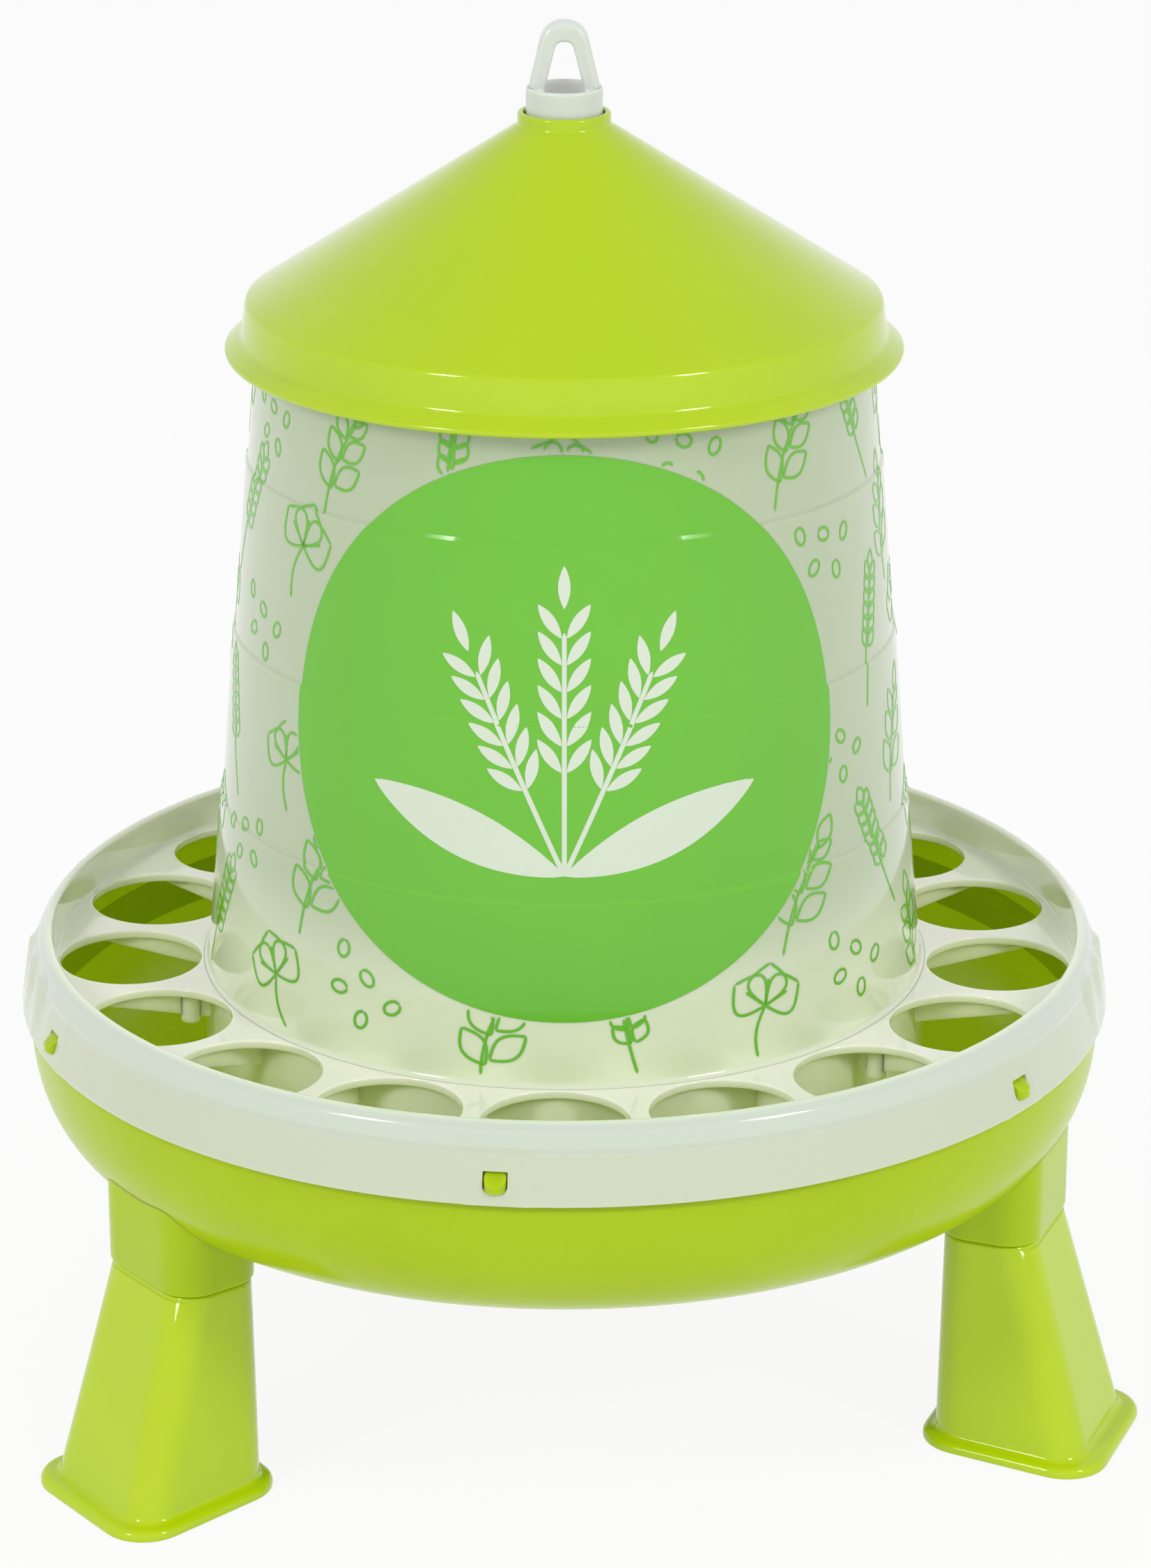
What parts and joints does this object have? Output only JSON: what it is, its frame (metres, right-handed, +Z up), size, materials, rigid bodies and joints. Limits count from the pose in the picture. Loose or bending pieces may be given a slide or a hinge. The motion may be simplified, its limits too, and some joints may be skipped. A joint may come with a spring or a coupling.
{
  "type": "poultry feeder",
  "caption": "Standing or hanging poultry feeder: stepped conical hopper with a ring of feeding holes, clip-fastened tray on legs, conical lid and hanging eye.",
  "frame": {"origin": "on the hopper's axis, at the floor that the three feet stand on", "axes": "+Z up along the hopper's axis; -Y is the front, the side in the picture; +X runs through one finger grip"},
  "size_m": [0.3904, 0.3974, 0.4797],
  "materials": {
    "white_plastic": "smooth",
    "lid_green": "polished",
    "milky_plastic": "polished, translucent",
    "tray_green": "smooth",
    "leg_green": "polished"
  },
  "bodies": {
    "root": {"hanger": "white_plastic", "lid": "lid_green", "guarded_hopper": "milky_plastic", "feed_tray": "tray_green", "leg_left": "leg_green", "leg_right": "leg_green", "leg_back": "leg_green"}
  },
  "joints": []
}
